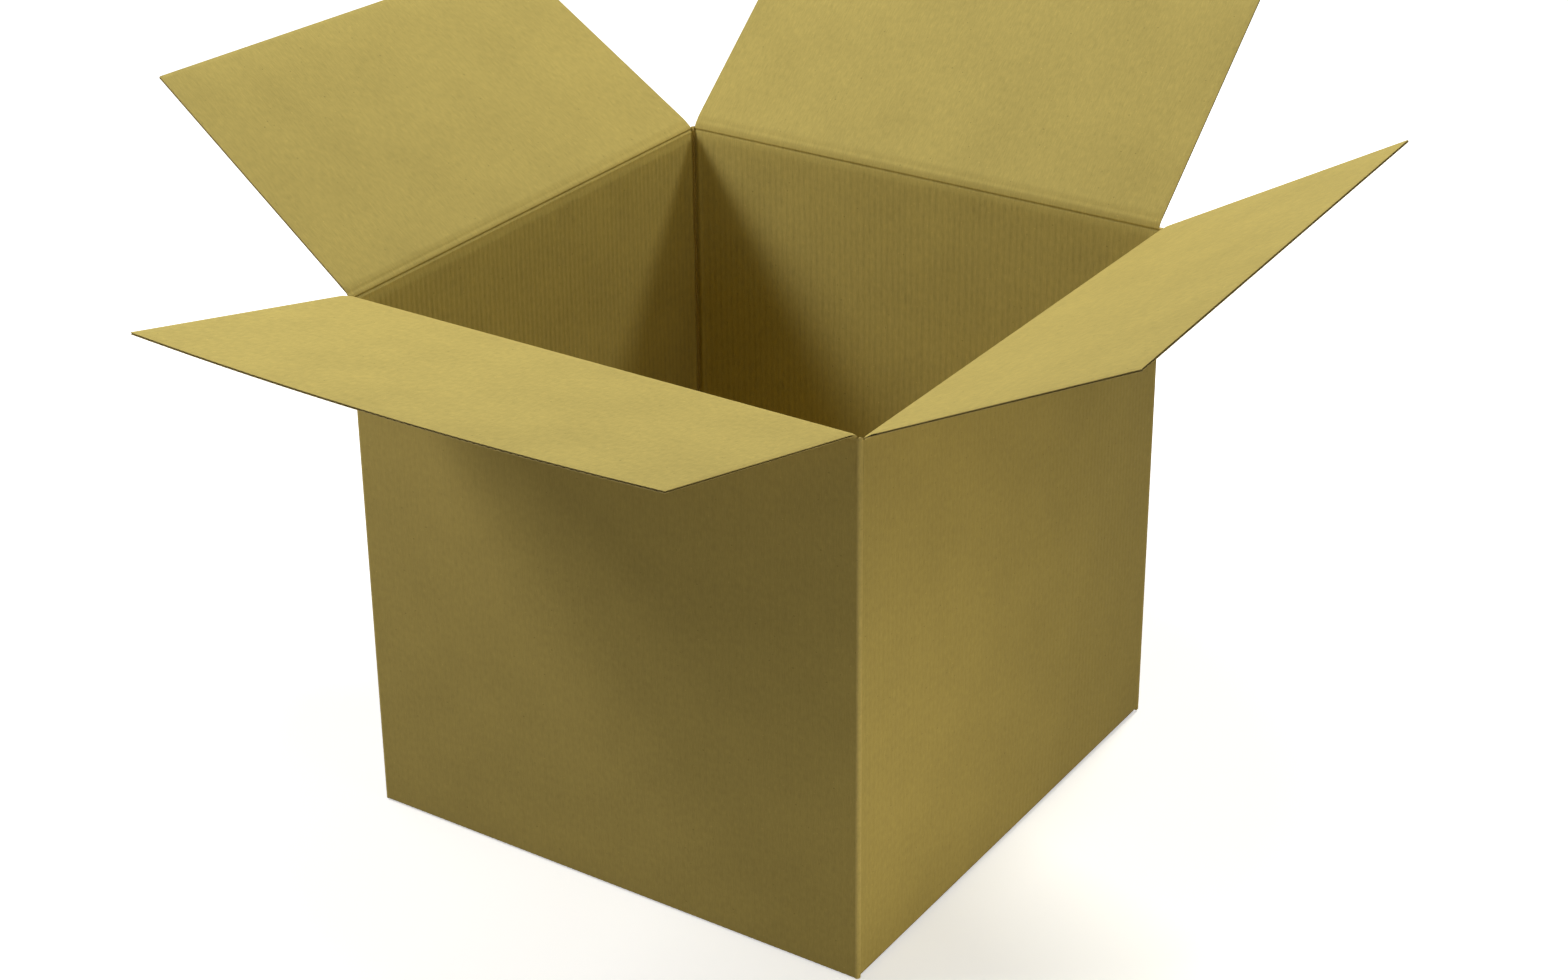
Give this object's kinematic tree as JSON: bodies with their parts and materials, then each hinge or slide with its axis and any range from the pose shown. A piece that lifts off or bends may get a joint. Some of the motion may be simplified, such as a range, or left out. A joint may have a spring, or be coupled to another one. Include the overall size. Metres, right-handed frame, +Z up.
{
  "type": "open cardboard box",
  "caption": "Square shipping carton of corrugated board, standing open with its top flaps folded outwards.",
  "frame": {"origin": "centre of the underside, on the floor", "axes": "+Z up, -Y out of the front wall, +X out of the right wall"},
  "size_m": [0.9339, 0.936, 0.6532],
  "materials": {
    "kraft_board": "matte"
  },
  "bodies": {
    "carton": {"box_body": "kraft_board"},
    "front_lid": {"front_flap": "kraft_board"},
    "right_lid": {"right_flap": "kraft_board"},
    "back_lid": {"back_flap": "kraft_board"},
    "left_lid": {"left_flap": "kraft_board"}
  },
  "joints": [
    {"name": "front_fold", "type": "hinge", "parent": "carton", "child": "front_lid", "pos_m": [0, -0.25015, 0.4903], "axis": [1, 0, 0], "range_deg": [-167, 98]},
    {"name": "right_fold", "type": "hinge", "parent": "carton", "child": "right_lid", "pos_m": [0.25015, 0, 0.487], "axis": [0, 1, 0], "range_deg": [-154, 111]},
    {"name": "back_fold", "type": "hinge", "parent": "carton", "child": "back_lid", "pos_m": [0, 0.25015, 0.4903], "axis": [-1, 0, 0], "range_deg": [-140, 125]},
    {"name": "left_fold", "type": "hinge", "parent": "carton", "child": "left_lid", "pos_m": [-0.25015, 0, 0.487], "axis": [0, -1, 0], "range_deg": [-147, 118]}
  ]
}
